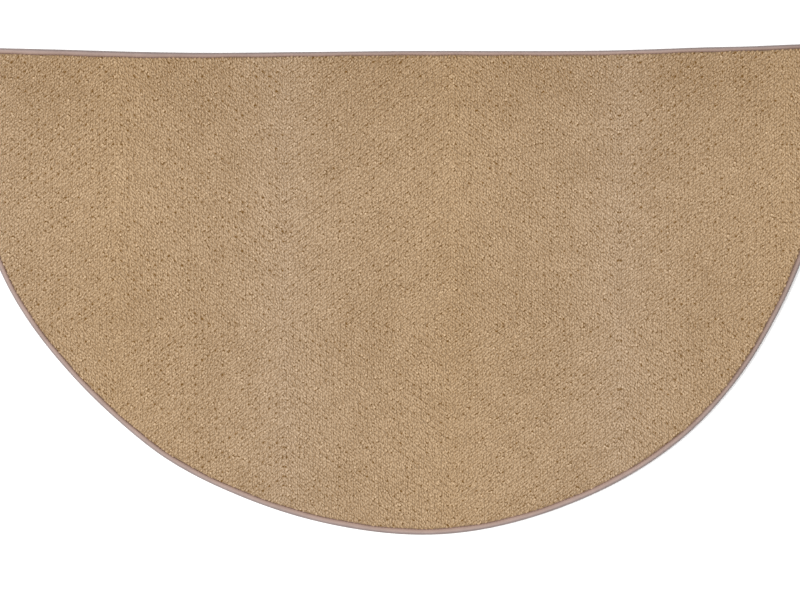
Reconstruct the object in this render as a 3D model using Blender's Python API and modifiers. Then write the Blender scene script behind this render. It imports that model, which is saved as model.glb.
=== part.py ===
# Half round hearth rug: a carpet panel cut to an arc, and a tape folded round its edge.
# Looking down, the straight edge is towards +Y and the back of the carpet is at zero height.
import bmesh
import bpy
import math

# Sizes in metres
ARC_RADIUS = 0.6096
STRAIGHT_EDGE_RISE = 0.069
CORNER_CUT = 0.019
CORNER_STEPS = 9
ARC_STATION = 0.022
STRAIGHT_STATION = 0.024
TAPE_THICKNESS = 0.0009
TAPE_CLEARANCE = 0.0016
CARPET_SIDE = 0.0013
CARPET_SIDE_FOOT = 0.0032

# How the cut arc strays from its radius. The angle is from the middle of the arc towards +X.
ARC_UNEVENNESS = (
    {"angle_deg": -100, "outward": 0.0110},
    {"angle_deg": -80, "outward": 0.0110},
    {"angle_deg": -65, "outward": 0.0088},
    {"angle_deg": -50, "outward": -0.0009},
    {"angle_deg": -42, "outward": -0.0033},
    {"angle_deg": -34, "outward": -0.0026},
    {"angle_deg": -22, "outward": -0.0053},
    {"angle_deg": -10, "outward": -0.0031},
    {"angle_deg": 5, "outward": 0.0035},
    {"angle_deg": 20, "outward": 0.0037},
    {"angle_deg": 40, "outward": 0.0049},
    {"angle_deg": 50, "outward": 0.0001},
    {"angle_deg": 60, "outward": -0.0065},
    {"angle_deg": 75, "outward": -0.0100},
    {"angle_deg": 100, "outward": -0.0100},
)

# How the straight edge strays from its line. The place is measured along it from the arc's centre.
STRAIGHT_UNEVENNESS = (
    {"along": -0.640, "outward": 0.0044},
    {"along": -0.500, "outward": 0.0019},
    {"along": -0.380, "outward": -0.0015},
    {"along": -0.280, "outward": -0.0029},
    {"along": -0.150, "outward": -0.0019},
    {"along": 0.000, "outward": -0.0004},
    {"along": 0.200, "outward": -0.0004},
    {"along": 0.280, "outward": 0.0002},
    {"along": 0.345, "outward": 0.0020},
    {"along": 0.414, "outward": 0.0045},
    {"along": 0.484, "outward": 0.0061},
    {"along": 0.553, "outward": 0.0089},
    {"along": 0.640, "outward": 0.0105},
)

# The outer face of the folded tape, from its edge on the pile round to its edge on the back.
TAPE_SECTION = (
    {"place": "stitched edge", "inward": 0.0064, "height": 0.0066},
    {"place": "inner slope", "inward": 0.0055, "height": 0.0073},
    {"place": "crown", "inward": 0.0038, "height": 0.0077},
    {"place": "outer slope", "inward": 0.0021, "height": 0.0072},
    {"place": "upper turn", "inward": 0.0008, "height": 0.0059},
    {"place": "edge", "inward": 0.0001, "height": 0.0040},
    {"place": "lower turn", "inward": 0.0006, "height": 0.0019},
    {"place": "foot", "inward": 0.0020, "height": 0.0004},
    {"place": "lying", "inward": 0.0034, "height": 0.0000},
    {"place": "edge on the back", "inward": 0.0076, "height": 0.0000},
)

# The carpet's upper side, each row a step further in from the one before it.
CARPET_TOP_STEPS = (
    {"place": "pressed shoulder", "inward": 0.0010, "rise": 0.0012},
    {"place": "under the tape", "inward": 0.0014, "rise": 0.0003},
    {"place": "under the stitches", "inward": 0.0028, "rise": -0.0007},
    {"place": "groove", "inward": 0.0009, "rise": 0.0002},
    {"place": "first loops", "inward": 0.0010, "rise": 0.0017},
    {"place": "full pile", "inward": 0.0016, "rise": 0.0006},
    {"place": "level pile", "inward": 0.0030, "rise": 0.0002},
)

# The carpet's back, each row a step further in from the one before it.
CARPET_BACK_STEPS = (
    {"place": "pressed foot", "inward": 0.0015, "rise": 0.0018},
    {"place": "over the tape", "inward": 0.0051, "rise": 0.0},
    {"place": "down to the floor", "inward": 0.0008, "rise": 0.0014},
)


def between(rows, key, at):
    # A smooth value between the rows of a table, level at its ends.
    places = [row[key] for row in rows]
    values = [row["outward"] for row in rows]
    at = min(max(at, places[0]), places[-1])
    last = max(i for i in range(len(rows) - 1) if places[i] <= at)
    step = places[last + 1] - places[last]

    def slope(i):
        if i in (0, len(rows) - 1):
            return 0.0
        before = (values[i] - values[i - 1]) / (places[i] - places[i - 1])
        after = (values[i + 1] - values[i]) / (places[i + 1] - places[i])
        return (before + after) / 2

    t = (at - places[last]) / step
    start, end = values[last], values[last + 1]
    curve = (2 * t**3 - 3 * t**2 + 1) * start + (3 * t**2 - 2 * t**3) * end
    return curve + step * ((t**3 - 2 * t**2 + t) * slope(last) + (t**3 - t**2) * slope(last + 1))


def arc_point(angle):
    radius = ARC_RADIUS + between(ARC_UNEVENNESS, "angle_deg", math.degrees(angle))
    return radius * math.sin(angle), -radius * math.cos(angle)


def straight_point(along):
    return along, STRAIGHT_EDGE_RISE + between(STRAIGHT_UNEVENNESS, "along", along)


def corner_angle(side):
    # Halves the search until the arc meets the straight edge.
    low, high = math.radians(80), math.radians(110)
    for _ in range(50):
        middle = (low + high) / 2
        x, y = arc_point(side * middle)
        if y < straight_point(x)[1]:
            low = middle
        else:
            high = middle
    return side * low


def outline():
    # Anticlockwise from the left corner, its two corners cut round, centred on its width and depth.
    left, right = corner_angle(-1), corner_angle(1)
    arc_steps = round((right - left) * ARC_RADIUS / ARC_STATION)
    points = [arc_point(left + (right - left) * i / arc_steps) for i in range(arc_steps + 1)]
    first, last = points[0][0], points[-1][0]
    edge_steps = round((last - first) / STRAIGHT_STATION)
    points += [straight_point(last + (first - last) * i / edge_steps) for i in range(1, edge_steps)]

    bm = bmesh.new()
    verts = [bm.verts.new((x, y, 0)) for x, y in points]
    bm.faces.new(verts)
    corners = [verts[0], verts[arc_steps]]
    bmesh.ops.bevel(
        bm, geom=corners, offset=CORNER_CUT, offset_type="OFFSET", segments=CORNER_STEPS,
        profile=0.5, affect="VERTICES",
    )
    face = max(bm.faces, key=lambda f: f.calc_area())
    loop = [(v.co.x, v.co.y) for v in face.verts]
    bm.free()
    middle_x = (min(x for x, _ in loop) + max(x for x, _ in loop)) / 2
    middle_y = (min(y for _, y in loop) + max(y for _, y in loop)) / 2
    return [(x - middle_x, y - middle_y) for x, y in loop]


def material(name, colour, roughness):
    made = bpy.data.materials.new(name)
    made.use_nodes = True
    shader = made.node_tree.nodes["Principled BSDF"]
    shader.inputs["Base Color"].default_value = (*colour, 1)
    shader.inputs["Roughness"].default_value = roughness
    shader.inputs["Metallic"].default_value = 0
    made.diffuse_color = (*colour, 1)
    return made


def poly_curve(name, points, cyclic, collection):
    data = bpy.data.curves.new(name, "CURVE")
    data.dimensions = "2D"
    spline = data.splines.new("POLY")
    spline.points.add(len(points) - 1)
    for point, (x, y) in zip(spline.points, points):
        point.co = (x, y, 0, 1)
    spline.use_cyclic_u = cyclic
    made = bpy.data.objects.new(name, data)
    collection.objects.link(made)
    return made


def build_carpet(loop, collection):
    bm = bmesh.new()
    face = bm.faces.new([bm.verts.new((x, y, CARPET_SIDE_FOOT)) for x, y in loop])
    bm.normal_update()
    rim = bmesh.ops.inset_region(
        bm, faces=[face], thickness=TAPE_CLEARANCE, use_boundary=True, use_even_offset=True
    )
    bmesh.ops.delete(bm, geom=rim["faces"], context="FACES")
    made = bmesh.ops.extrude_face_region(bm, geom=list(bm.faces))
    raised = [item for item in made["geom"] if isinstance(item, bmesh.types.BMVert)]
    bmesh.ops.translate(bm, vec=(0, 0, CARPET_SIDE), verts=raised)
    bmesh.ops.recalc_face_normals(bm, faces=list(bm.faces))
    for steps, side in ((CARPET_TOP_STEPS, 1), (CARPET_BACK_STEPS, -1)):
        cap = max(bm.faces, key=lambda f: side * f.normal.z * f.calc_area())
        for row in steps:
            bmesh.ops.inset_region(
                bm, faces=[cap], thickness=row["inward"], depth=row["rise"], use_even_offset=True
            )
    mesh = bpy.data.meshes.new("carpet")
    bm.to_mesh(mesh)
    bm.free()
    made = bpy.data.objects.new("carpet", mesh)
    collection.objects.link(made)
    made.data.materials.append(material("carpet", (0.45, 0.30, 0.18), 0.95))
    return made


def build_binding(loop, collection, guides):
    section = [(row["inward"], row["height"]) for row in TAPE_SECTION]
    profile = poly_curve("tape section", section, False, guides)
    made = poly_curve("binding", loop, True, collection)
    made.data.bevel_mode = "OBJECT"
    made.data.bevel_object = profile
    made.data.materials.append(material("binding", (0.46, 0.34, 0.30), 0.85))
    thick = made.modifiers.new("tape thickness", "SOLIDIFY")
    thick.thickness = TAPE_THICKNESS
    thick.offset = 1
    thick.use_even_offset = True
    return made


def build():
    for old in list(bpy.data.objects):
        bpy.data.objects.remove(old, do_unlink=True)
    rug = bpy.data.collections.new("half round hearth rug")
    guides = bpy.data.collections.new("guides")
    bpy.context.scene.collection.children.link(rug)
    bpy.context.scene.collection.children.link(guides)
    loop = outline()
    build_carpet(loop, rug)
    build_binding(loop, rug, guides)
    for guide in guides.objects:
        guide.hide_render = True
        guide.display_type = "WIRE"


build()
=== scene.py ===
import math
import bmesh
import bpy
import numpy as np
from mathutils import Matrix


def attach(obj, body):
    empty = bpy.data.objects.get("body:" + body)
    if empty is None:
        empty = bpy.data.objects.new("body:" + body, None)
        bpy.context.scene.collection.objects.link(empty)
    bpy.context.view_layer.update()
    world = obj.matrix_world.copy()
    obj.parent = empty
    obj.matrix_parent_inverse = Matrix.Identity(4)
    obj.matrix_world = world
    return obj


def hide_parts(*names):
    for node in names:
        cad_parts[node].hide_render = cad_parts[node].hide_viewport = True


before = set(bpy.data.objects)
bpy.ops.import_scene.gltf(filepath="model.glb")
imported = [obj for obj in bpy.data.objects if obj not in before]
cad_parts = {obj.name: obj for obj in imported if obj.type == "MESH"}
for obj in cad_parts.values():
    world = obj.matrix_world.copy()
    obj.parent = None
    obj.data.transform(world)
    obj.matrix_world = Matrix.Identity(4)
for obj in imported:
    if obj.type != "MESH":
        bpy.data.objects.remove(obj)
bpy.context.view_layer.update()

# The cut outline, with the same sizes and tables as the part's source. Lengths are in metres.
cut = {
    "arcRadius": 0.6096,
    "straightRise": 0.069,
    "cornerCut": 0.019,
    "cornerReach": 0.55,   # how far the corner's curve leans to the uncut corner
    "station": 0.0008,     # spacing of the points that every edge piece reads
}
arcStray = (  # angle from the middle of the arc, in degrees, and metres outwards
    (-100, 0.0110), (-80, 0.0110), (-65, 0.0088), (-50, -0.0009), (-42, -0.0033),
    (-34, -0.0026), (-22, -0.0053), (-10, -0.0031), (5, 0.0035), (20, 0.0037),
    (40, 0.0049), (50, 0.0001), (60, -0.0065), (75, -0.0100), (100, -0.0100),
)
straightStray = (  # place along the straight edge, and metres outwards
    (-0.640, 0.0044), (-0.500, 0.0019), (-0.380, -0.0015), (-0.280, -0.0029),
    (-0.150, -0.0019), (0.000, -0.0004), (0.200, -0.0004), (0.280, 0.0002),
    (0.345, 0.0020), (0.414, 0.0045), (0.484, 0.0061), (0.553, 0.0089), (0.640, 0.0105),
)


def between(rows, at):
    # smooth value between the rows of a table, level at its ends
    places = np.array([r[0] for r in rows], float)
    values = np.array([r[1] for r in rows], float)
    rise = np.diff(values) / np.diff(places)
    slope = np.concatenate([[0.0], (rise[1:] + rise[:-1]) / 2, [0.0]])
    at = np.clip(np.asarray(at, float), places[0], places[-1])
    k = np.clip(np.searchsorted(places, at, side="right") - 1, 0, len(rows) - 2)
    step = places[k + 1] - places[k]
    t = (at - places[k]) / step
    start, end = values[k], values[k + 1]
    return ((2 * t**3 - 3 * t**2 + 1) * start + (3 * t**2 - 2 * t**3) * end
            + step * ((t**3 - 2 * t**2 + t) * slope[k] + (t**3 - t**2) * slope[k + 1]))


def arcPoint(angle):
    radius = cut["arcRadius"] + between(arcStray, np.degrees(angle))
    return np.stack([radius * np.sin(angle), -radius * np.cos(angle)], -1)


def straightPoint(along):
    return np.stack([along, cut["straightRise"] + between(straightStray, along)], -1)


def cornerAngle(side):
    # where the arc meets the straight edge, by halving the range
    low, high = math.radians(80), math.radians(110)
    for _ in range(50):
        middle = (low + high) / 2
        x, y = arcPoint(np.array(side * middle))
        if y < straightPoint(np.array(x))[1]:
            low = middle
        else:
            high = middle
    return side * low


def roundCorner(corner, before, after):
    # a smooth turn from one cut point to the other
    t = np.linspace(0, 1, 24)[:, None]
    a = before + cut["cornerReach"] * (corner - before)
    b = after + cut["cornerReach"] * (corner - after)
    return (1 - t)**3 * before + 3 * (1 - t)**2 * t * a + 3 * (1 - t) * t**2 * b + t**3 * after


def evenly(points, spacing):
    # the closed line again, with points evenly spaced along it
    closed = np.vstack([points, points[:1]])
    run = np.concatenate([[0], np.cumsum(np.linalg.norm(np.diff(closed, axis=0), axis=1))])
    count = int(round(run[-1] / spacing))
    at = np.arange(count) * run[-1] / count
    return np.stack([np.interp(at, run, closed[:, k]) for k in range(2)], -1), run[-1]


def cutOutline():
    left, right = cornerAngle(-1), cornerAngle(1)
    arc = arcPoint(np.linspace(left, right, 2400))
    edge = straightPoint(np.linspace(arc[-1][0], arc[0][0], 1500))
    far = cut["cornerCut"]
    keepArc = arc[(np.linalg.norm(arc - arc[0], axis=1) > far)
                  & (np.linalg.norm(arc - arc[-1], axis=1) > far)]
    keepEdge = edge[(np.linalg.norm(edge - arc[0], axis=1) > far)
                    & (np.linalg.norm(edge - arc[-1], axis=1) > far)]
    rightTurn = roundCorner(arc[-1], keepArc[-1], keepEdge[0])
    leftTurn = roundCorner(arc[0], keepEdge[-1], keepArc[0])
    loop = np.vstack([keepArc, rightTurn[1:-1], keepEdge, leftTurn[1:-1]])
    loop -= (loop.min(0) + loop.max(0)) / 2
    return evenly(loop, cut["station"])


outline, around = cutOutline()
forward = np.roll(outline, -4, 0) - np.roll(outline, 4, 0)
forward /= np.linalg.norm(forward, axis=1)[:, None]
inwards = np.stack([-forward[:, 1], forward[:, 0]], -1)  # the loop runs anticlockwise


def newMesh(name, verts, faces, material=None, smooth=True):
    mesh = bpy.data.meshes.new(name)
    mesh.from_pydata([tuple(v) for v in verts], [], faces)
    mesh.update()
    if smooth:
        mesh.polygons.foreach_set("use_smooth", [True] * len(mesh.polygons))
    made = bpy.data.objects.new(name, mesh)
    bpy.context.scene.collection.objects.link(made)
    if material:
        mesh.materials.append(material)
    return made


def triangles(obj):
    obj.data.calc_loop_triangles()
    return len(obj.data.loop_triangles)


def faceOutwards(mesh):
    bm = bmesh.new()
    bm.from_mesh(mesh)
    bmesh.ops.recalc_face_normals(bm, faces=bm.faces)
    bm.to_mesh(mesh)
    bm.free()


def storeValues(mesh, values):
    # one number for each point of a mesh, under each name
    for label, numbers in values.items():
        store = mesh.attributes.new(label, "FLOAT", "POINT")
        store.data.foreach_set("value", np.ascontiguousarray(numbers, dtype=np.float32).ravel())


# Nodes

def placeNodes(tree):
    # short ways to add a node and to chain maths
    def add(kind, values=(), **settings):
        node = tree.nodes.new(kind)
        for key, value in settings.items():
            setattr(node, key, value)
        for socket, value in dict(values).items():
            if isinstance(value, bpy.types.NodeSocket):
                tree.links.new(value, node.inputs[socket])
            elif value is not None:
                node.inputs[socket].default_value = value
        return node

    def maths(operation, a, b=None, c=None):
        return add("ShaderNodeMath", {0: a, 1: b, 2: c}, operation=operation).outputs[0]

    return add, maths


def groupTree(name, inputs, outputs):
    tree = bpy.data.node_groups.new(name, "ShaderNodeTree")
    for label, kind, value in inputs:
        made = tree.interface.new_socket(name=label, in_out="INPUT", socket_type=kind)
        if value is not None:
            made.default_value = value
    for label, kind in outputs:
        tree.interface.new_socket(name=label, in_out="OUTPUT", socket_type=kind)
    add, maths = placeNodes(tree)
    return tree, add, maths, add("NodeGroupInput"), add("NodeGroupOutput")


# Soft tone patches of the pile. The carpet's tone mirrors from one width to the next.
tone = {
    "mirrorWidth": 0.2353,
    "mirrorStart": -0.3953,   # a warm axis of the mirror
    "mirrorLevel": -0.0501,   # the level that the tone mirrors about, bottom to top
    "patchFall": 0.8,         # how fast a patch fades from its middle
    "blurScale": 22.0,        # softer patches without a plan, and how strong they are
    "blurGrain": 0.05,
    "evenCool": 0.36,         # share of the cool colour between the mirror lines
    "strandFineness": 700.0,
    "strandStretch": 2.0,
    "pitWander": 0.0045,      # how far a pit strays, and how fast that changes over the pile
    "pitWanderScale": 75.0,
    "pitShadeRange": {1: 0.45, 2: 0.62, 3: 0.05, 4: 1.65},   # a noise from, to, and the strength it gives the painted pit shade and tip highlight
    # painted shade in a pit and painted highlight on a tip beside the low loop of a repeat: across, up, half
    # length, half width, lighter or darker
    "pitShadeSpots": ((0.0005, -0.0004, 0.0044, 0.0012, -0.17), (0.0, 0.0, 0.0011, 0.0010, -0.62),
                 (-0.0034, 0.0002, 0.0013, 0.0011, 0.24), (-0.0062, 0.0003, 0.0010, 0.0009, -0.16)),
}
tonePatches = (  # across and up in the mirrored tone, half width, half height, lighter or darker
    (0.000, 0.000, 0.026, 0.090, -0.040),
    (0.010, 0.180, 0.070, 0.070, 0.042),
    (0.122, 0.000, 0.042, 0.080, -0.042),
    (0.235, 0.090, 0.062, 0.180, 0.046),
    (0.180, 0.228, 0.032, 0.020, -0.075),
    (0.115, 0.350, 0.095, 0.060, -0.100),
    (0.000, 0.370, 0.300, 0.060, -0.030),
)


def toneGroup():
    tree, add, maths, given, out = groupTree(
        "mirrored tone",
        [("Position", "NodeSocketVector", None)],
        [(label, "NodeSocketFloat") for label in ("Lightness", "Coolness", "StrandToneAndShade", "PitShadeAndTipLight")])
    x, y, _ = add("ShaderNodeSeparateXYZ", {0: given.outputs["Position"]}).outputs
    across = maths("PINGPONG", maths("SUBTRACT", x, tone["mirrorStart"]), tone["mirrorWidth"])
    up = maths("ABSOLUTE", maths("SUBTRACT", y, tone["mirrorLevel"]))
    total = None
    for px, py, wide, high, change in tonePatches:
        a = maths("DIVIDE", maths("SUBTRACT", across, px), wide)
        b = maths("DIVIDE", maths("SUBTRACT", up, py), high)
        near = maths("ADD", maths("POWER", a, 2.0), maths("POWER", b, 2.0))
        fall = maths("MULTIPLY", maths("EXPONENT", maths("MULTIPLY", near, -tone["patchFall"])), change)
        total = fall if total is None else maths("ADD", total, fall)
    blur = add("ShaderNodeTexNoise", {"Vector": given.outputs["Position"], "Scale": tone["blurScale"],
                                      "Detail": 1.0})
    total = maths("ADD", total, maths("MULTIPLY", maths("SUBTRACT", blur.outputs[0], 0.5), tone["blurGrain"]))
    tree.links.new(maths("ADD", 1.0, total), out.inputs["Lightness"])
    # cool towards one mirror line, warm towards the other, and even between them
    t = maths("DIVIDE", across, tone["mirrorWidth"])
    cool = maths("MULTIPLY", maths("POWER", t, 3.0), 1 - tone["evenCool"])
    warm = maths("MULTIPLY", maths("POWER", maths("SUBTRACT", 1.0, t), 3.0), -tone["evenCool"])
    tree.links.new(maths("ADD", maths("ADD", cool, warm), tone["evenCool"]), out.inputs["Coolness"])
    # yarn strands run down the diagonal that the rows of loops follow; their light and dark is partly the
    # yarn's own fleck and partly painted fine shade
    flat = add("ShaderNodeCombineXYZ", {0: across, 1: up})
    lay = add("ShaderNodeMapping", {0: flat.outputs[0]}, vector_type="TEXTURE")
    lay.inputs["Rotation"].default_value = (0, 0, -pile["loopAngle"])
    lay.inputs["Scale"].default_value = (tone["strandStretch"], 1, 1)
    strand = add("ShaderNodeTexNoise", {"Vector": lay.outputs[0], "Scale": tone["strandFineness"],
                                        "Detail": 0.5, "Roughness": 0.5})
    tree.links.new(maths("MULTIPLY", maths("SUBTRACT", strand.outputs[0], 0.5), 2.0), out.inputs["StrandToneAndShade"])
    # painted shade in the pits and a painted highlight on a tip at the low loop of each repeat, a little off
    # its place
    stray = add("ShaderNodeTexNoise", {"Vector": given.outputs["Position"], "Scale": tone["pitWanderScale"],
                                       "Detail": 1.0})
    sx, sy, sz = add("ShaderNodeSeparateXYZ", {0: stray.outputs["Color"]}).outputs
    a = maths("ADD", across, maths("MULTIPLY", maths("SUBTRACT", sx, 0.5), tone["pitWander"]))
    b = maths("ADD", up, maths("MULTIPLY", maths("SUBTRACT", sy, 0.5), tone["pitWander"]))
    a, b = maths("DIVIDE", a, pile["repeatAcross"]), maths("DIVIDE", b, pile["repeatUp"])
    p = maths("SUBTRACT", maths("ADD", a, b), pile["firstLoop"][0])
    q = maths("SUBTRACT", maths("SUBTRACT", b, a), pile["firstLoop"][1])
    p, q = (maths("SUBTRACT", v, maths("ROUND", v)) for v in (p, q))
    aside = maths("MULTIPLY", maths("SUBTRACT", p, q), pile["repeatAcross"] / 2)
    above = maths("MULTIPLY", maths("ADD", p, q), pile["repeatUp"] / 2)
    strong = add("ShaderNodeMapRange", {0: sz, **tone["pitShadeRange"]}).outputs[0]
    total = None
    for dx, dy, along, wide, change in tone["pitShadeSpots"]:
        c, s = math.cos(pile["rowAngle"]), math.sin(pile["rowAngle"])
        x1, y1 = maths("SUBTRACT", aside, dx), maths("SUBTRACT", above, dy)
        u = maths("DIVIDE", maths("SUBTRACT", maths("MULTIPLY", x1, c), maths("MULTIPLY", y1, s)), along)
        v = maths("DIVIDE", maths("ADD", maths("MULTIPLY", x1, s), maths("MULTIPLY", y1, c)), wide)
        far = maths("ADD", maths("POWER", u, 2.0), maths("POWER", v, 2.0))
        spot = maths("MULTIPLY", maths("EXPONENT", maths("MULTIPLY", far, -1.0)), change)
        total = spot if total is None else maths("ADD", total, spot)
    tree.links.new(maths("MULTIPLY", total, strong), out.inputs["PitShadeAndTipLight"])
    return tree


# Yarn fibre, for every piece

fibre = {
    "clumpSize": 0.3,      # fineness of the clumps against the hairs
    "hairShare": 0.6,      # of the height, with the clumps as the rest
    "shadeMiddle": 0.5,    # added to the hairs, so that the shade lies about one
    "sheenRoughness": 0.5,
    "specular": 0.25,
}


def fibreGroup():
    # fine twisted fibre, as a height and a shade
    tree, add, maths, given, out = groupTree(
        "yarn fibre",
        [("Position", "NodeSocketVector", None), ("Fineness", "NodeSocketFloat", 900.0)],
        [("Height", "NodeSocketFloat"), ("Shade", "NodeSocketFloat")])
    hair = add("ShaderNodeTexNoise", {"Vector": given.outputs["Position"], "Detail": 4.0, "Roughness": 0.7,
                                      "Distortion": 0.6})
    tree.links.new(given.outputs["Fineness"], hair.inputs["Scale"])
    clump = add("ShaderNodeTexNoise", {"Vector": given.outputs["Position"], "Detail": 2.0})
    tree.links.new(maths("MULTIPLY", given.outputs["Fineness"], fibre["clumpSize"]), clump.inputs["Scale"])
    tree.links.new(maths("ADD", maths("MULTIPLY", hair.outputs[0], fibre["hairShare"]),
                         maths("MULTIPLY", clump.outputs[0], 1 - fibre["hairShare"])), out.inputs["Height"])
    tree.links.new(maths("ADD", fibre["shadeMiddle"], hair.outputs[0]), out.inputs["Shade"])
    return tree


yarnFibre = fibreGroup()


def newMaterial(name, roughness, sheen=0.0):
    made = bpy.data.materials.new(name)
    made.use_nodes = True
    add, maths = placeNodes(made.node_tree)
    shader = made.node_tree.nodes["Principled BSDF"]
    shader.inputs["Roughness"].default_value = roughness
    shader.inputs["Specular IOR Level"].default_value = fibre["specular"]
    shader.inputs["Sheen Weight"].default_value = sheen
    shader.inputs["Sheen Roughness"].default_value = fibre["sheenRoughness"]
    return made, add, maths, shader


def tinted(add, colour, factor):
    # a colour made lighter or darker by a value
    return add("ShaderNodeVectorMath", {0: colour, "Scale": factor}, operation="SCALE").outputs[0]


def summed(maths, first, *parts):
    # a value with others added to it, each by its own weight
    for value, weight in parts:
        first = maths("ADD", first, maths("MULTIPLY", value, weight))
    return first


def about(maths, value, middle):
    return maths("SUBTRACT", value, middle)


def fibreAt(add, place, fineness):
    return add("ShaderNodeGroup", {"Position": place, "Fineness": fineness}, node_tree=yarnFibre).outputs


def carried(add, name, output="Fac"):
    # a value that the mesh carries
    return add("ShaderNodeAttribute", attribute_name=name).outputs[output]


def dress(made, add, shader, colour, height, bump):
    # colour, and a bump of a given strength and depth, on the shader
    relief = add("ShaderNodeBump", {"Height": height, "Strength": bump[0], "Distance": bump[1]})
    made.node_tree.links.new(colour, shader.inputs["Base Color"])
    made.node_tree.links.new(relief.outputs[0], shader.inputs["Normal"])
    return made


# Loop pile

pile = {
    "repeatAcross": 0.01894,     # the pattern's repeat, corner to corner of its diamond
    "repeatUp": 0.01360,
    "firstLoop": (-0.03, 0.35),  # where the low loop of a repeat lies, along its two diagonals
    "rowAngle": math.radians(35.7),    # how far the pattern's grooves dip
    "loopAngle": math.radians(62.0),   # and the loops themselves
    "columns": 74.5,             # columns of loops between two mirror lines
    "groundHeight": 0.0060,
    "loopHeight": 0.0014,
    "loopLength": 0.0062,
    "loopWidth": 0.0045,
    "plump": (0.95, 1.05),
    "footDepth": 0.15,           # how far the foot stands in the ground, against the loop's height
    "leanDegrees": 3.0,
    "turnDegrees": 26.0,
    "wander": 0.00105,
    "patternWaves": (0.30, (31.0, 1.3), (27.0, 0.4)),   # where the pattern shows more, across and up
    "patternNoise": 0.15,
    "riseNoise": 0.03,
    "pulledShare": 0.02,         # loops pulled low, and how low
    "pulledRise": (0.3, 0.8),
    "pressed": (0.62, 0.004),    # height beside the tape, and how far in it is full again
    "plyTwist": 1.1,
    "plyCount": 1.35,
    "plyPhase": 0.6,
    "plyShadeWeight": 0.075,
    "hairCount": 26.0,           # fine fibres across a loop, and how light and dark they are
    "hairGrain": 0.30,
    "hairLength": 3.0,           # hairs along a loop, and how much they differ from loop to loop
    "hairChange": 40.0,
    "fibreFineness": 1100.0,
    "fibreGrain": 0.2,
    "loopGrain": 0.02,           # lighter and darker loops
    # strands: the yarn's own fleck together with painted fine shade
    "strandToneShadeWeight": 0.95,
    "strandEdge": (0.45, 1.3, 0.6),   # contrast of a strand, its gain at the ends and its lean to the dark
    "rootShadeRange": {1: 0.40, 2: 0.95, 3: -0.16, 4: 0.04},   # height on a loop, and the painted shade from the root, turning to a little painted light at the top
    "sunkShadeRange": {1: 0.25, 2: 1.2, 3: -0.12, 4: 0.03},    # height of a whole loop, and the painted shade it gets when low
    "gapShare": 0.036,           # loops with painted shade in a gap at one end, and how strong it is
    "gapStrength": (0.6, 1.2),
    "gapShadeRange": {1: 0.06, 2: 0.28, 3: -0.30, 4: 1.0},     # place along a loop, and how much of the painted gap shade shows
    "gapShadeWeight": -1.0,
    "blotchScale": 45.0,
    "blotchGrain": 0.17,
    "darkest": -0.75,
    "relief": (0.55, 0.5, 1.1),  # height of the plies, of the fibre and of the hairs
    "bump": (0.8, 0.0005),
    "seed": 7,
    "bands": 4,
    "clearOfTape": 0.0008,
    "warmColour": (0.406, 0.2775, 0.1585),
    "coolColour": (0.396, 0.2805, 0.1775),
    "toneShadeColour": (0.84, 1.00, 1.24),   # how far each colour goes with the tone and the painted shade and light
}
# Heights of the nine loops in one repeat: a low row with its lowest loop first, then two full rows.
patternLoops = ((0.62, 0.74, 0.80), (1.03, 1.07, 1.05), (1.04, 1.00, 0.98))
mirroredTone = toneGroup()


def distanceInside(points):
    # distance of each point to the cut edge, and the nearest place on it, coarse then fine
    coarse = outline[::12]
    best = np.empty(len(points), int)
    for i in range(0, len(points), 4000):
        gap = ((points[i:i + 4000, None, :] - coarse[None]) ** 2).sum(-1)
        best[i:i + 4000] = gap.argmin(1) * 12
    around12 = (best[:, None] + np.arange(-14, 15)[None]) % len(outline)
    gap = ((points[:, None, :] - outline[around12]) ** 2).sum(-1)
    near = around12[np.arange(len(points)), gap.argmin(1)]
    depth = ((points - outline[near]) * inwards[near]).sum(-1)
    return depth, near


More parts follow.
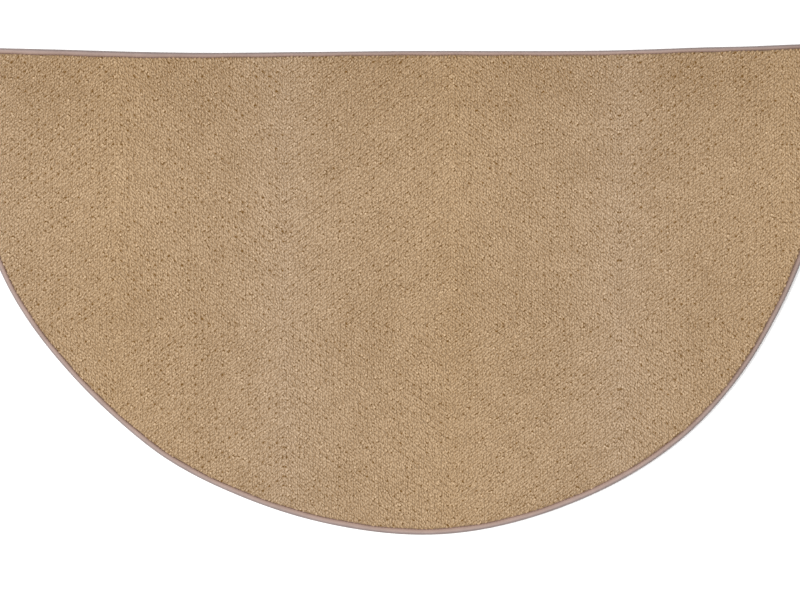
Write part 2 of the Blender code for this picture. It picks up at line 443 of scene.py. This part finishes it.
def loopSeats():
    # a seat for every loop that lies inside the tape, with the height the pattern gives it
    rng = np.random.default_rng(pile["seed"])
    wide, high = outline[:, 0].max(), outline[:, 1].max()
    columns = pile["columns"]
    step = (tone["mirrorWidth"] / columns, pile["repeatUp"] / 6)   # the columns close up at each mirror line
    m, n = np.meshgrid(np.arange(-90, 350), np.arange(-190, 190), indexing="ij")
    staggered = (m + n) % 2 == 0
    m, n = m[staggered], n[staggered]
    points = np.stack([tone["mirrorStart"] + step[0] * m, tone["mirrorLevel"] + step[1] * n], -1)
    inBox = (np.abs(points[:, 0]) < wide) & (np.abs(points[:, 1]) < high)
    points, m, n = points[inBox], m[inBox], n[inBox]
    up = np.abs(n)
    across = np.mod(m, 2 * columns)
    mirrored = across > columns
    across = np.where(mirrored, 2 * columns - across, across)
    i = np.floor((across + up) / 2 - 3 * pile["firstLoop"][0] + 0.51).astype(int)
    j = np.floor((up - across) / 2 - 3 * pile["firstLoop"][1] + 0.51).astype(int)
    rise = np.array(patternLoops)[i % 3, j % 3]
    turn = -pile["loopAngle"] * np.where(mirrored, -1, 1) * np.where(n < 0, -1, 1)
    depth, near = distanceInside(points)
    clear = depth - coverAt[near] - pile["clearOfTape"]
    keep = clear > 0
    points, rise, turn, clear = points[keep], rise[keep], turn[keep], clear[keep]

    # the pattern shows more in some places than in others, and some loops are pulled low
    swing, (waveX, startX), (waveY, startY) = pile["patternWaves"]
    strength = 1.0 + swing * np.sin(points[:, 0] * waveX + startX) * np.sin(points[:, 1] * waveY + startY)
    strength += rng.normal(0, pile["patternNoise"], len(rise))
    rise = 1 + (rise - 1) * np.clip(strength, 0.0, 1.7)
    rise += rng.normal(0, pile["riseNoise"], len(rise))
    pulled = rng.random(len(rise)) < pile["pulledShare"]
    rise[pulled] *= rng.uniform(*pile["pulledRise"], pulled.sum())
    rise = np.clip(rise, 0.2, 1.25)
    shade = np.clip(rng.normal(0, 1, len(rise)), -2.2, 2.2)
    # loops that get painted shade in a gap at one end
    gap = (rng.random(len(rise)) < pile["gapShare"]) * rng.uniform(*pile["gapStrength"], len(rise))
    # loops beside the tape are pressed low, so they also take the painted shade of low loops
    low, full = pile["pressed"]
    rise = rise * (low + (1 - low) * np.clip(clear / full, 0, 1))
    return points, rise, turn, shade, gap


def pileMaterial():
    made, add, maths, shader = newMaterial("loop pile", 0.95, sheen=0.05)
    place = add("ShaderNodeTexCoord").outputs["Object"]
    patches = add("ShaderNodeGroup", {"Position": place}, node_tree=mirroredTone).outputs
    yarn = fibreAt(add, place, pile["fibreFineness"])
    shadeOf = carried(add, "loopShade")
    colour = add("ShaderNodeMix", {0: patches["Coolness"], 6: (*pile["warmColour"], 1),
                                   7: (*pile["coolColour"], 1)}, data_type="RGBA")
    # two plies twist round each loop, with painted shade in the grooves between them and painted light on
    # their crowns
    along, aside, _ = add("ShaderNodeSeparateXYZ", {0: carried(add, "loopLay", "Vector")}).outputs
    turns = summed(maths, maths("MULTIPLY", along, pile["plyTwist"]), (aside, pile["plyCount"]))
    phase = maths("MULTIPLY", shadeOf, pile["plyPhase"])
    ply = maths("COSINE", maths("MULTIPLY_ADD", turns, 2 * math.pi, phase))
    # hairs run with the plies
    spun = add("ShaderNodeCombineXYZ", {0: maths("MULTIPLY", along, pile["hairLength"]),
                                        1: maths("MULTIPLY", turns, pile["hairCount"] / pile["plyCount"]),
                                        2: maths("MULTIPLY", shadeOf, pile["hairChange"])})
    hair = add("ShaderNodeTexNoise", {"Vector": spun.outputs[0], "Scale": 1.0, "Detail": 2.0,
                                      "Roughness": 0.6})
    hairs = about(maths, hair.outputs[0], 0.5)
    # strands have a darker side and firm ends
    even, ends, lean = pile["strandEdge"]
    strand = patches["StrandToneAndShade"]
    contrast = summed(maths, even, (maths("ABSOLUTE", strand), ends), (strand, -lean))
    strand = maths("MULTIPLY", strand, contrast)
    gapEndShade = add("ShaderNodeMapRange", {0: along, **pile["gapShadeRange"]}).outputs[0]
    gap = maths("MULTIPLY", carried(add, "seatGapShade"), gapEndShade)
    blotch = add("ShaderNodeTexNoise", {"Vector": place, "Scale": pile["blotchScale"], "Detail": 0.0})
    # painted shade at the root of each loop, lighter at its top
    root = add("ShaderNodeMapRange", {0: carried(add, "loopRise"), **pile["rootShadeRange"]}).outputs[0]
    # painted shade over a whole loop that stands low, and a little painted light on a high one
    sunkShade = add("ShaderNodeMapRange", {0: carried(add, "seatRise"), **pile["sunkShadeRange"]}).outputs[0]
    # the yarn's own tone, blotches, fibre and hairs, summed with painted shade and highlight from pits, tips,
    # gaps, ply grooves, roots and low loops
    toneAndShade = summed(maths, patches["PitShadeAndTipLight"], (shadeOf, pile["loopGrain"]), (gap, pile["gapShadeWeight"]),
                   (about(maths, blotch.outputs[0], 0.5), pile["blotchGrain"]), (strand, pile["strandToneShadeWeight"]),
                   (about(maths, yarn["Shade"], 1.0), pile["fibreGrain"]), (ply, pile["plyShadeWeight"]),
                   (hairs, pile["hairGrain"]))
    toneAndShade = maths("ADD", maths("ADD", toneAndShade, root), about(maths, patches["Lightness"], 1.0))
    toneAndShade = maths("MAXIMUM", maths("ADD", toneAndShade, sunkShade), pile["darkest"])
    # darker tone and painted shade are deeper in colour, as painted bounce light in the hollows, and lighter
    # ones paler, as painted sheen on the tips
    spread = tinted(add, pile["toneShadeColour"], toneAndShade)
    lifted = add("ShaderNodeVectorMath", {0: spread, 1: colour.outputs[2], 2: colour.outputs[2]},
                 operation="MULTIPLY_ADD").outputs[0]
    plies, fibres, fine = pile["relief"]
    height = summed(maths, maths("MULTIPLY", ply, plies), (yarn["Height"], fibres), (hairs, fine))
    return dress(made, add, shader, lifted, height, pile["bump"])


def loopShape(material):
    # one low oval loop, one unit long, wide and high: a six sided foot, four shoulders and a short ridge
    verts = [(0.5, 0, 0), (0.25, 0.46, 0), (-0.25, 0.46, 0), (-0.5, 0, 0), (-0.25, -0.46, 0),
             (0.25, -0.46, 0), (0.28, 0.30, 0.66), (-0.28, 0.30, 0.66), (-0.28, -0.30, 0.66),
             (0.28, -0.30, 0.66), (0.14, 0, 1), (-0.14, 0, 1)]
    faces = [(0, 1, 6), (1, 2, 7), (1, 7, 6), (2, 3, 7), (3, 8, 7), (3, 4, 8), (4, 5, 9), (4, 9, 8),
             (5, 0, 9), (0, 6, 9), (6, 7, 11), (6, 11, 10), (7, 8, 11), (8, 9, 10), (8, 10, 11), (9, 6, 10)]
    rise = [z for _, _, z in verts]
    verts = [(x, y, z - pile["footDepth"] * (1 - z)) for x, y, z in verts]   # the foot stands in the ground
    made = newMesh("loopShape", verts, faces, material)
    storeValues(made.data, {"loopRise": rise})
    lay = made.data.attributes.new("loopLay", "FLOAT_VECTOR", "POINT")
    lay.data.foreach_set("vector", np.array(verts, dtype=np.float32).ravel())
    return made


def growthTree(name, inputs, result):
    # a geometry tree with its named inputs, and its geometry out
    tree = bpy.data.node_groups.new(name, "GeometryNodeTree")
    for label, kind in inputs:
        tree.interface.new_socket(name=label, in_out="INPUT", socket_type="NodeSocket" + kind)
    tree.interface.new_socket(name=result, in_out="OUTPUT", socket_type="NodeSocketGeometry")
    add, maths = placeNodes(tree)
    return tree, add, maths, add("NodeGroupInput").outputs, add("NodeGroupOutput")


def endTree(tree, add, placed, material, out):
    real = add("GeometryNodeRealizeInstances", {0: placed.outputs[0]})
    dressed = add("GeometryNodeSetMaterial", {"Geometry": real.outputs[0], "Material": material})
    tree.links.new(dressed.outputs[0], out.inputs[0])
    return tree


def loopTree(material):
    tree, add, maths, g, out = growthTree(
        "loops on seats",
        (("Seats", "Geometry"), ("Loop", "Object"), ("Width", "Float"), ("Length", "Float"),
         ("Height", "Float"), ("Wander", "Float"), ("Lean", "Float"), ("Turn", "Float"),
         ("Seed", "Int")), "Loops")

    def spread(x, y, z, seed):
        # a random vector up to x, y and z either way
        least = [maths("MULTIPLY", v, -1.0) if v is not None else None for v in (x, y, z)]
        return add("FunctionNodeRandomValue",
                   {0: add("ShaderNodeCombineXYZ", dict(enumerate(least))).outputs[0],
                    1: add("ShaderNodeCombineXYZ", {0: x, 1: y, 2: z}).outputs[0],
                    "Seed": maths("ADD", g["Seed"], float(seed))}, data_type="FLOAT_VECTOR").outputs[0]

    moved = add("GeometryNodeSetPosition", {"Geometry": g["Seats"],
                                            "Offset": spread(g["Wander"], g["Wander"], None, 0)})
    rowTurn = add("GeometryNodeInputNamedAttribute", {0: "seatTurn"}, data_type="FLOAT").outputs[0]
    aim = add("ShaderNodeVectorMath", {0: spread(g["Lean"], g["Lean"], g["Turn"], 1),
                                       1: add("ShaderNodeCombineXYZ", {2: rowTurn}).outputs[0]})
    turn = add("FunctionNodeEulerToRotation", {0: aim.outputs[0]})
    rise = add("GeometryNodeInputNamedAttribute", {0: "seatRise"}, data_type="FLOAT").outputs[0]
    least, most = pile["plump"]
    plump = add("FunctionNodeRandomValue", {2: least, 3: most, "Seed": maths("ADD", g["Seed"], 2.0)},
                data_type="FLOAT").outputs[1]
    size = add("ShaderNodeCombineXYZ", {0: maths("MULTIPLY", g["Length"], plump),
                                        1: maths("MULTIPLY", g["Width"], plump),
                                        2: maths("MULTIPLY", g["Height"], rise)})
    shape = add("GeometryNodeObjectInfo", {"Object": g["Loop"]})
    placed = add("GeometryNodeInstanceOnPoints",
                 {"Points": moved.outputs[0], "Instance": shape.outputs["Geometry"],
                  "Rotation": turn.outputs[0], "Scale": size.outputs[0]})
    return endTree(tree, add, placed, material, out)


def grow(host, tree, values, name):
    # runs a node tree on a host, keeps the result as a plain mesh and drops the host
    modifier = host.modifiers.new(tree.name, "NODES")
    modifier.node_group = tree
    for item in tree.interface.items_tree:
        if item.item_type == "SOCKET" and item.in_out == "INPUT" and item.name in values:
            modifier[item.identifier] = values[item.name]
    bpy.context.view_layer.update()
    evaluated = host.evaluated_get(bpy.context.evaluated_depsgraph_get())
    mesh = bpy.data.meshes.new_from_object(evaluated)
    mesh.name = name
    host.modifiers.clear()
    made = bpy.data.objects.new(name, mesh)
    bpy.context.scene.collection.objects.link(made)
    bpy.data.objects.remove(host, do_unlink=True)
    mesh.polygons.foreach_set("use_smooth", [True] * len(mesh.polygons))
    return made


def seatHost(name, points, height, values):
    mesh = bpy.data.meshes.new(name)
    mesh.vertices.add(len(points))
    mesh.vertices.foreach_set("co", np.column_stack([points, np.full(len(points), height)]).ravel())
    storeValues(mesh, values)
    made = bpy.data.objects.new(name, mesh)
    bpy.context.scene.collection.objects.link(made)
    return made


def buildPile():
    material = pileMaterial()
    shape = loopShape(material)
    tree = loopTree(material)
    points, rise, turn, shade, gap = loopSeats()
    order = np.argsort(points[:, 0], kind="stable")
    made = []
    for i, part in enumerate(np.array_split(order, pile["bands"])):
        host = seatHost("seats%d" % i, points[part], pile["groundHeight"],
                        {"seatRise": rise[part], "seatTurn": turn[part], "loopShade": shade[part],
                         "seatGapShade": gap[part]})
        values = {"Loop": shape, "Width": pile["loopWidth"], "Length": pile["loopLength"],
                  "Height": pile["loopHeight"], "Wander": pile["wander"],
                  "Lean": math.radians(pile["leanDegrees"]), "Turn": math.radians(pile["turnDegrees"]),
                  "Seed": pile["seed"] + 10 * i}
        made.append(grow(host, tree, values, "loopPile%d" % (i + 1)))
        print("pile band", i + 1, len(part), "loops,", triangles(made[-1]), "triangles")
    bpy.data.objects.remove(shape, do_unlink=True)
    return made


# Ground that the loops stand in, with the woven back underneath

ground = {
    "station": 8,      # outline points to one station
    # the ground's yarn colour, darkened as painted shade between the loops
    "faceShadeColour": (0.27, 0.180, 0.103),
    "faceFineness": 700.0,
    "faceBump": (0.6, 0.0008),
    "backColour": (0.42, 0.36, 0.27),
    "backYarn": 0.0030,
    "backFineness": 500.0,
    "backShadeAndLight": (0.80, 0.28, 0.05),   # painted shade in the gaps, painted light more on a yarn's crown, and where one passes over
    "backRelief": (0.8, 0.4),          # height of the yarns and of their fibre
    "backBump": (0.7, 0.0007),
    "backBelow": 0.003,                # faces lower than this are the back
}
groundSection = (  # inwards from the cut edge, and height
    (0.0090, 0.0000), (0.0082, 0.0014), (0.0031, 0.0014), (0.0016, 0.0032), (0.0016, 0.0045),
    (0.0026, 0.0054), (0.0040, 0.0057), (0.0068, 0.0051), (0.0085, 0.0054), (0.0110, 0.0060),
)


def faceMaterial():
    made, add, maths, shader = newMaterial("pile ground", 0.97)
    place = add("ShaderNodeTexCoord").outputs["Object"]
    yarn = fibreAt(add, place, ground["faceFineness"])
    return dress(made, add, shader, tinted(add, ground["faceShadeColour"], yarn["Shade"]), yarn["Height"],
                 ground["faceBump"])


def backMaterial():
    # plain woven backing: two sets of flat yarns that pass over and under
    made, add, maths, shader = newMaterial("woven back", 0.9)
    place = add("ShaderNodeTexCoord").outputs["Object"]
    x, y, _ = add("ShaderNodeSeparateXYZ", {0: place}).outputs
    turns = 2 * math.pi / ground["backYarn"]
    wx, wy = (maths("SINE", maths("MULTIPLY", v, turns)) for v in (x, y))
    over = maths("MULTIPLY", wx, wy)
    rib = maths("MULTIPLY", maths("ABSOLUTE", wx), maths("ABSOLUTE", wy))
    yarn = fibreAt(add, place, ground["backFineness"])
    weaveGapShade, ribLight, overLight = ground["backShadeAndLight"]
    # painted shade between the yarns and painted light on their crowns
    light = maths("MULTIPLY", summed(maths, weaveGapShade, (rib, ribLight)), yarn["Shade"])
    light = summed(maths, light, (over, overLight))
    yarns, fibres = ground["backRelief"]
    height = summed(maths, maths("MULTIPLY", rib, yarns), (yarn["Height"], fibres))
    return dress(made, add, shader, tinted(add, ground["backColour"], light), height, ground["backBump"])


def buildGround():
    stations = outline[::ground["station"]]
    turned = inwards[::ground["station"]]
    count = len(stations)
    verts = []
    for depth, height in groundSection:
        ring = stations + turned * depth
        verts += [(x, y, height) for x, y in ring]
    faces = []
    for r in range(len(groundSection) - 1):
        for i in range(count):
            j = (i + 1) % count
            faces.append((r * count + i, r * count + j, (r + 1) * count + j, (r + 1) * count + i))
    last = (len(groundSection) - 1) * count
    faces.append(tuple(range(last, last + count)))
    faces.append(tuple(reversed(range(count))))
    made = newMesh("carpetGround", verts, faces, faceMaterial())
    made.data.materials.append(backMaterial())
    for face in made.data.polygons:
        if face.center.z < ground["backBelow"]:
            face.material_index = 1
    faceOutwards(made.data)
    print("ground:", triangles(made), "triangles")
    return made


# Tape

tape = {
    "stations": 2080,
    "thickness": 0.0009,
    "stitchPitch": 0.0047,
    "pucker": 0.00026,
    "looseness": 0.3,          # how much the pucker changes round the edge
    "ribPitch": 0.0008,
    "ribLean": 0.9,
    "pickShare": 1.3,          # picks to one rib
    "fibreFineness": 1500.0,
    "wornScale": 45.0,
    "lightParts": (0.04, 0.40, 0.25),    # of the ribs, of the wear and of the fibre
    "relief": (0.5, 0.25, 0.8),          # of the ribs, the picks and the fibre
    "bump": (0.5, 0.0003),
    "plainBand": 0.62,         # place in the bands of colour that the back takes
    "turnedBands": (0.0, 0.2, 0.45),     # and the last rows of the fold before it, with the painted shade of the outer turn
    "seamFrom": 0.6,           # place in the bands where the seam's shade begins
    "faceAbove": 0.0035,       # rows of the section higher than this are the upper face
    "strays": ((17, 41, 83), 0.00016),   # waves of the tape's inner edge round the rug, and their size
    "seed": 5,
}
tapeCover = (  # place round the edge from the left corner, as a share of the whole, and cover on the pile
    (0.00, 0.0083), (0.12, 0.0076), (0.18, 0.0080), (0.28, 0.0088), (0.33, 0.0086), (0.43, 0.0084),
    (0.465, 0.0074), (0.53, 0.0080), (0.60, 0.0068), (0.68, 0.0068), (0.88, 0.0071), (0.925, 0.0087),
    (1.00, 0.0083),
)
seamShade = (  # place round the edge as before, and how light the seam is there
    (0.00, 0.86), (0.12, 1.07), (0.17, 0.98), (0.30, 1.04), (0.42, 0.98), (0.48, 0.70), (0.54, 0.62),
    (0.64, 0.62), (0.70, 1.03), (0.77, 1.12), (0.82, 1.02), (0.87, 0.98), (0.93, 0.80), (1.00, 0.86),
)
tapeShade = (  # and how light the tape is
    (0.00, 1.00), (0.10, 1.03), (0.20, 1.03), (0.30, 1.00), (0.40, 1.02), (0.47, 0.94), (0.53, 0.90),
    (0.58, 0.81), (0.63, 0.84), (0.70, 0.99), (0.80, 0.95), (0.90, 0.90), (0.96, 0.95), (1.00, 1.00),
)
tapeSection = (  # inwards from the cut edge, height, how far it widens with the cover, pull of the stitches
    (0.0074, 0.0063, 1.00, 1.0), (0.0069, 0.0070, 0.95, 0.7), (0.0061, 0.0075, 0.75, 0.3),
    (0.0049, 0.0078, 0.40, 0.1), (0.0036, 0.0078, 0.15, 0.0), (0.0023, 0.0073, 0.0, 0.0),
    (0.0012, 0.0064, 0.0, 0.0), (0.0005, 0.0053, 0.0, 0.0), (0.0001, 0.0040, 0.0, 0.0),
    (0.0003, 0.0026, 0.0, 0.0), (0.0009, 0.0014, 0.0, 0.0), (0.0019, 0.0005, 0.0, 0.0),
    (0.0033, 0.0001, 0.0, 0.0), (0.0056, 0.0001, 0.0, 0.0), (0.0066, 0.0005, 0.0, 0.4),
    (0.0078, 0.0001, 0.0, 0.0),
)
tapeShadeBands = (  # inwards from the cut edge on the upper face, and colour there: the tape's own colour with painted shade on the rounded outer turn, a painted highlight on the crown and painted shade into the seam
    (0.0000, (0.250, 0.196, 0.185)), (0.0016, (0.218, 0.168, 0.156)), (0.0030, (0.342, 0.254, 0.226)),
    (0.0040, (0.340, 0.246, 0.213)), (0.0056, (0.288, 0.198, 0.156)), (0.0070, (0.292, 0.175, 0.143)),
)
atShare = np.arange(len(outline)) / len(outline)
coverAt = between(tapeCover, atShare)
drift = np.random.default_rng(21)
for waves in tape["strays"][0]:
    size = drift.normal(0, tape["strays"][1])
    coverAt = coverAt + size * np.sin(2 * math.pi * (waves * atShare + drift.random()))


def tapeMaterial():
    made, add, maths, shader = newMaterial("woven tape", 0.82, sheen=0.08)
    uv = add("ShaderNodeUVMap", uv_map="tapeLay").outputs[0]
    along, across, _ = add("ShaderNodeSeparateXYZ", {0: uv}).outputs
    place = add("ShaderNodeTexCoord").outputs["Object"]
    turns = 2 * math.pi / tape["ribPitch"]
    twill = maths("SINE", maths("MULTIPLY", summed(maths, along, (across, tape["ribLean"])), turns))
    picks = maths("SINE", maths("MULTIPLY", across, turns * tape["pickShare"]))
    yarn = fibreAt(add, place, tape["fibreFineness"])
    worn = add("ShaderNodeTexNoise", {"Vector": place, "Scale": tape["wornScale"], "Detail": 4.0,
                                      "Roughness": 0.65})
    # bands of colour with painted shade on the outer turn and at the seam and a painted highlight on the
    # crown
    bands = add("ShaderNodeValToRGB", {0: carried(add, "tapeTurn")})
    ramp = bands.color_ramp
    ramp.interpolation = "B_SPLINE"
    widest = tapeShadeBands[-1][0]
    for i, (inward, colour) in enumerate(tapeShadeBands):
        stop = ramp.elements[i] if i < 2 else ramp.elements.new(inward / widest)
        stop.position = inward / widest
        stop.color = (*colour, 1)
    ribLight, wornLight, fibreLight = tape["lightParts"]
    light = summed(maths, 1.0, (twill, ribLight), (about(maths, worn.outputs[0], 0.5), wornLight),
                   (about(maths, yarn["Shade"], 1.0), fibreLight))
    light = maths("MULTIPLY", light, carried(add, "seamShade"))
    ribs, pickRise, fibres = tape["relief"]
    height = summed(maths, maths("MULTIPLY", twill, ribs), (picks, pickRise), (yarn["Height"], fibres))
    return dress(made, add, shader, tinted(add, bands.outputs[0], light), height, tape["bump"])


def sectionAt(cover, pulled):
    # outer face of the fold at each station, for rows of the section table
    rows = []
    for inward, height, widen, pull in tapeSection:
        deep = inward + widen * (cover - tapeSection[0][0])
        drop = -pulled * pull if height > tape["faceAbove"] else pulled * pull
        rows.append(np.stack(np.broadcast_arrays(deep, height + drop), -1))
    return np.stack(rows, 1)


def buildTape():
    count = tape["stations"]
    at = np.arange(count) * len(outline) / count
    k = at.astype(int) % len(outline)
    part = (at - at.astype(int))[:, None]
    k2 = (k + 1) % len(outline)
    place = outline[k] * (1 - part) + outline[k2] * part
    turned = inwards[k] * (1 - part) + inwards[k2] * part
    turned /= np.linalg.norm(turned, axis=1)[:, None]
    run = np.arange(count) / count * around
    stitches = round(around / tape["stitchPitch"])
    wave = 0.5 + 0.5 * np.cos(2 * math.pi * stitches * run / around)
    rng = np.random.default_rng(tape["seed"])
    slack = np.interp(run, np.linspace(0, around, 90), rng.normal(0, 1, 90))
    looseness = 1 + tape["looseness"] * slack
    outer = sectionAt(coverAt[k], tape["pucker"] * wave * looseness)
    # inner face: the outer one moved in by the thickness
    step = np.gradient(outer, axis=1)
    step /= np.linalg.norm(step, axis=2)[:, :, None]
    side = np.stack([-step[:, :, 1], step[:, :, 0]], -1)
    inner = (outer + side * tape["thickness"])[:, ::-1]
    section = np.concatenate([outer, inner], 1)
    rows = section.shape[1]
    xy = place[:, None, :] + turned[:, None, :] * section[:, :, :1]
    verts = np.concatenate([xy, section[:, :, 1:]], -1).reshape(-1, 3)
    i = np.arange(count)[:, None]
    r = np.arange(rows)[None]
    j, q = (i + 1) % count, (r + 1) % rows
    faces = np.stack(np.broadcast_arrays(i * rows + r, j * rows + r, j * rows + q, i * rows + q), -1)
    made = newMesh("edgeTape", verts, faces.reshape(-1, 4).tolist(), tapeMaterial())
    mesh = made.data
    across = np.concatenate([[0], np.cumsum(np.linalg.norm(np.diff(section[0], axis=0), axis=1))])
    wide = across[-1] + tape["thickness"]
    lay = mesh.uv_layers.new(name="tapeLay")
    ru = np.broadcast_to(run[:, None], (count, rows))
    rn = np.where(j == 0, around, ru[j[:, 0]])
    au = np.broadcast_to(across[None], (count, rows))
    an = np.broadcast_to(np.append(across[1:], wide)[None], (count, rows))
    uvs = np.stack([np.stack([ru, au], -1), np.stack([rn, au], -1), np.stack([rn, an], -1),
                    np.stack([ru, an], -1)], 2).reshape(-1, 2)
    lay.data.foreach_set("uv", uvs.astype(np.float32).ravel())
    # where each point of the upper face lies in the bands of colour, with their painted shade and highlight;
    # the rest takes plain tape colours
    top = len([t for t in tapeSection if t[1] > tape["faceAbove"]])
    band = np.full((count, rows), tape["plainBand"])
    band[:, :top] = outer[:, :top, 0] / outer[:, :1, 0]
    band[:, top:top + len(tape["turnedBands"])] = tape["turnedBands"]
    nearSeam = np.clip((band - tape["seamFrom"]) / (1 - tape["seamFrom"]), 0, 1) * (np.arange(rows) < top)
    share = k / len(outline)
    seam = (between(tapeShade, share)[:, None] * (1 - nearSeam)
            + between(seamShade, share)[:, None] * nearSeam)
    storeValues(mesh, {"tapeTurn": band, "seamShade": seam})
    faceOutwards(mesh)
    print("tape:", triangles(made), "triangles,", round(wide / 2, 4), "m wide flat")
    return made, place, turned, coverAt[k], wide / 2


# Stitches that hold the tape, one row on the pile side and one on the back

stitch = {
    "length": 0.0041,
    "radius": 0.00030,
    "taper": 0.55,             # how much thinner its ends are, and how far they dip
    "dip": 0.0004,
    "skew": 0.09,
    "inFromTapeEdge": 0.0008,
    "faceHeight": 0.00728,
    "backInward": 0.0066,
    "backHeight": 0.00034,
    "colour": (0.175, 0.098, 0.078),
    "fibreFineness": 1800.0,
    "bump": (0.5, 0.0002),
}


def threadMaterial():
    made, add, maths, shader = newMaterial("sewing thread", 0.75)
    yarn = fibreAt(add, add("ShaderNodeTexCoord").outputs["Object"], stitch["fibreFineness"])
    return dress(made, add, shader, tinted(add, stitch["colour"], yarn["Shade"]), yarn["Height"],
                 stitch["bump"])


def stitchShape(material):
    # a short arched thread whose ends dip into the cloth
    rings, sides = 5, 5
    verts, faces = [], []
    for i in range(rings):
        t = -1 + 2 * i / (rings - 1)
        thick = stitch["radius"] * (1 - stitch["taper"] * t**4)
        for k in range(sides):
            a = 2 * math.pi * k / sides
            verts.append((t * stitch["length"] / 2, thick * math.cos(a),
                          thick * math.sin(a) - stitch["dip"] * t**4))
    for i in range(rings - 1):
        for k in range(sides):
            a, b = i * sides + k, i * sides + (k + 1) % sides
            faces.append((a, a + sides, b + sides, b))
    faces.append(tuple(range(sides)))
    faces.append(tuple(reversed(range((rings - 1) * sides, rings * sides))))
    made = newMesh("stitchShape", verts, faces, material)
    faceOutwards(made.data)
    return made


def stitchTree(material):
    tree, add, maths, g, out = growthTree(
        "stitches on a seam",
        (("Seam", "Geometry"), ("Stitch", "Object"), ("Count", "Int"), ("Skew", "Float"), ("Roll", "Float"),
         ("Seed", "Int")), "Stitches")
    line = add("GeometryNodeMeshToCurve", {"Mesh": g["Seam"]})
    spaced = add("GeometryNodeCurveToPoints", {"Curve": line.outputs[0], "Count": g["Count"]}, mode="COUNT")
    tilt = add("FunctionNodeRandomValue", {2: maths("MULTIPLY", g["Skew"], -1.0), 3: g["Skew"],
                                           "Seed": g["Seed"]}, data_type="FLOAT").outputs[1]
    heading = add("FunctionNodeAlignRotationToVector", {"Vector": spaced.outputs["Tangent"]}, axis="X",
                  pivot_axis="Z")
    skewed = add("FunctionNodeRotateRotation",
                 {0: heading.outputs[0],
                  1: add("FunctionNodeEulerToRotation",
                         {0: add("ShaderNodeCombineXYZ", {0: g["Roll"], 2: tilt}).outputs[0]}).outputs[0]},
                 rotation_space="LOCAL")
    shape = add("GeometryNodeObjectInfo", {"Object": g["Stitch"]})
    placed = add("GeometryNodeInstanceOnPoints",
                 {"Points": spaced.outputs["Points"], "Instance": shape.outputs["Geometry"],
                  "Rotation": skewed.outputs[0]})
    return endTree(tree, add, placed, material, out)


def seamHost(name, place, turned, inward, height):
    ring = place + turned * inward[:, None]
    count = len(ring)
    mesh = bpy.data.meshes.new(name)
    mesh.from_pydata([(x, y, height) for x, y in ring], [(i, (i + 1) % count) for i in range(count)], [])
    made = bpy.data.objects.new(name, mesh)
    bpy.context.scene.collection.objects.link(made)
    return made


def buildStitches(place, turned, cover):
    material = threadMaterial()
    shape = stitchShape(material)
    tree = stitchTree(material)
    count = round(around / tape["stitchPitch"])
    made = []
    faceInward, backInward = cover - stitch["inFromTapeEdge"], np.full(len(cover), stitch["backInward"])
    for name, height, inward, roll, seed in (
            ("seamStitchesFace", stitch["faceHeight"], faceInward, 0.0, 3),
            ("seamStitchesBack", stitch["backHeight"], backInward, math.pi, 4)):
        host = seamHost(name + "Line", place, turned, inward, height)
        made.append(grow(host, tree, {"Stitch": shape, "Count": count, "Skew": stitch["skew"], "Roll": roll,
                                      "Seed": seed}, name))
        print(name, count, "stitches,", triangles(made[-1]), "triangles")
    bpy.data.objects.remove(shape, do_unlink=True)
    return made


edgeTape, place, turned, cover, tapeWide = buildTape()
stitches = buildStitches(place, turned, cover)
carpetGround = buildGround()
loops = buildPile()

for piece in (carpetGround, *loops):
    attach(piece, "root")
for piece in (edgeTape, *stitches):
    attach(piece, "root")
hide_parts("carpet")
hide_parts("binding")


# Studio: pale floor, soft lamps and the camera straight above

studio = {
    "metresPerPixel": 0.001405,
    "rugMiddlePixel": (398.33, 289.36),   # where the rug's middle lies in the 800 by 600 picture
    "lens": 100.0,
    "sensor": 36.0,
    "focusHeight": 0.006,      # the scale holds at this height above the floor
    "floorColour": (0.93, 0.93, 0.93),
    "floorHalf": 6.0,
    "floorDrop": 0.0002,
    "world": 0.55,
    "keyLamp": (770.0, 4.2, (-6.0, 0.3, 7.2)),    # power, size and place
    "fillLamp": (440.0, 6.0, (4.2, -2.0, 9.0)),
}


def floorMaterial():
    made, _, _, shader = newMaterial("pale floor", 0.9)
    shader.inputs["Base Color"].default_value = (*studio["floorColour"], 1)
    shader.inputs["Specular IOR Level"].default_value = 0.0
    return made


def softLamp(name):
    power, size, place = studio[name]
    data = bpy.data.lights.new(name, "AREA")
    data.energy = power
    data.shape = "DISK"
    data.size = size
    made = bpy.data.objects.new(name, data)
    made.location = place
    aim = -np.array(place)
    made.rotation_euler = (math.atan2(math.hypot(aim[0], aim[1]), -aim[2]), 0,
                           math.atan2(aim[1], aim[0]) - math.pi / 2)
    bpy.context.scene.collection.objects.link(made)


def buildStudio():
    half, drop = studio["floorHalf"], studio["floorDrop"]
    corners = [(x * half, y * half, -drop) for x, y in ((-1, -1), (1, -1), (1, 1), (-1, 1))]
    floor = newMesh("floor", corners, [(0, 1, 2, 3)], floorMaterial(), smooth=False)
    softLamp("keyLamp")
    softLamp("fillLamp")
    world = bpy.data.worlds.new("studio")
    world.use_nodes = True
    world.node_tree.nodes["Background"].inputs["Color"].default_value = (1, 1, 1, 1)
    world.node_tree.nodes["Background"].inputs["Strength"].default_value = studio["world"]
    bpy.context.scene.world = world
    wide, high, scale = 800, 600, studio["metresPerPixel"]   # the picture's pixels
    x = (wide / 2 - studio["rugMiddlePixel"][0]) * scale
    y = (studio["rugMiddlePixel"][1] - high / 2) * scale
    data = bpy.data.cameras.new("camera")
    data.lens = studio["lens"]
    data.sensor_width = studio["sensor"]
    data.clip_end = 100.0
    camera = bpy.data.objects.new("camera", data)
    camera.location = (x, y, studio["focusHeight"] + wide * scale * studio["lens"] / studio["sensor"])
    bpy.context.scene.collection.objects.link(camera)
    bpy.context.scene.camera = camera
    bpy.context.scene.view_settings.view_transform = "Standard"
    print("studio ready")


buildStudio()
